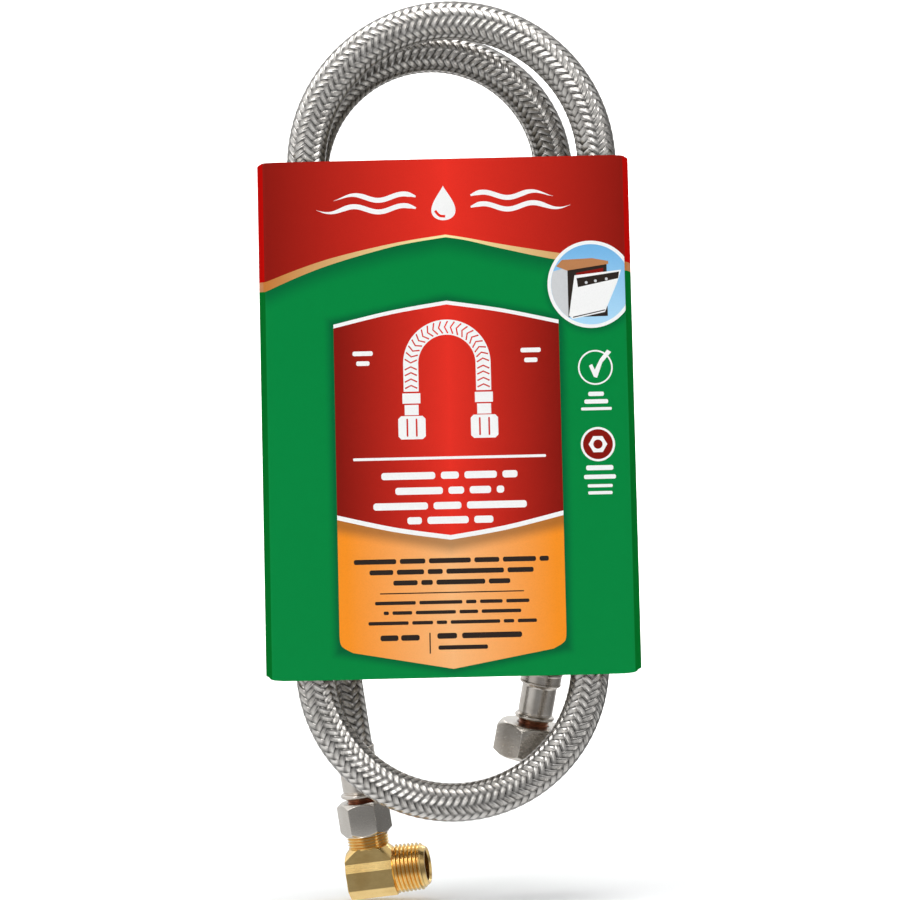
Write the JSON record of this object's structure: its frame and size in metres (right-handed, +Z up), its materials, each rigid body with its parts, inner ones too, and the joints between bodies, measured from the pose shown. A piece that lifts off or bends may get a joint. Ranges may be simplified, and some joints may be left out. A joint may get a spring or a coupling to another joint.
{
  "type": "braided supply line",
  "caption": "Coiled stainless braided water supply hose with a swivel compression nut and brass elbow at one end, a swivel FIP nut at the other, bundled in a folded card sleeve",
  "frame": {"origin": "centre of the bounding box, at its bottom", "axes": "+Z up along the coil, +X to the right as the printed face is read, and the printed face looks along -Y"},
  "size_m": [0.1288, 0.0414, 0.3096],
  "materials": {
    "steel_braid": "bright woven stainless wire",
    "pvc_tube": "smooth reinforced PVC",
    "ferrule_steel": "satin crimped stainless",
    "copper_stem": "dark turned metal",
    "black_rubber": "matte",
    "nickel_nut": "satin nickel plate",
    "yellow_brass": "machined",
    "printed_card": "satin print varnish"
  },
  "bodies": {
    "hose": {"braid_main": "steel_braid", "tube_main": "pvc_tube"},
    "comp_end": {"braid_comp_end": "steel_braid", "tube_comp_end": "pvc_tube", "comp_ferrule": "ferrule_steel", "comp_stem": "copper_stem"},
    "comp_nut": {"comp_nut": "nickel_nut"},
    "comp_washer": {"comp_washer": "black_rubber"},
    "elbow": {"elbow": "yellow_brass"},
    "fip_end": {"braid_fip_end": "steel_braid", "tube_fip_end": "pvc_tube", "fip_ferrule": "ferrule_steel", "fip_stem": "copper_stem"},
    "fip_washer": {"fip_washer": "black_rubber"},
    "fip_nut": {"fip_nut": "nickel_nut"},
    "card_sleeve": {"card_sleeve": "printed_card"}
  },
  "joints": [
    {"name": "comp_end_flex", "type": "hinge", "parent": "hose", "child": "comp_end", "pos_m": [-0.0408, 0.00063, 0.09413], "axis": [0, 1, 0], "range_deg": [-10, 12]},
    {"name": "fip_end_flex", "type": "hinge", "parent": "hose", "child": "fip_end", "pos_m": [0.0371, -0.00007, 0.11103], "axis": [0, 1, 0], "range_deg": [-4, 10]},
    {"name": "comp_nut_spin", "type": "hinge", "parent": "comp_end", "child": "comp_nut", "pos_m": [-0.03297, 0.00583, 0.03467], "axis": [-0.13, -0.0864, 0.9877], "range_deg": [0, 1800]},
    {"name": "elbow_swivel", "type": "hinge", "parent": "comp_end", "child": "comp_washer", "pos_m": [-0.02968, 0.00802, 0.00968], "axis": [-0.13, -0.0864, 0.9877], "continuous": true},
    {"name": "elbow_unscrew", "type": "slide", "parent": "comp_washer", "child": "elbow", "axis": [0.13, 0.0864, -0.9877], "range_m": [0, 0.0053]},
    {"name": "fip_nut_spin", "type": "hinge", "parent": "fip_end", "child": "fip_washer", "pos_m": [0.0272, 0.00709, 0.06008], "axis": [0.189, -0.1367, 0.9724], "continuous": true},
    {"name": "fip_nut_slide", "type": "slide", "parent": "fip_washer", "child": "fip_nut", "axis": [0.189, -0.1367, 0.9724], "range_m": [0, 0.0013]},
    {"name": "sleeve_slide", "type": "slide", "parent": "hose", "child": "card_sleeve", "axis": [0, 0, 1], "range_m": [0, 0.25]}
  ],
  "couplings": [
    {"joint": "elbow_unscrew", "follows": "comp_nut_spin", "m_per_rad": 0.00016844}
  ]
}
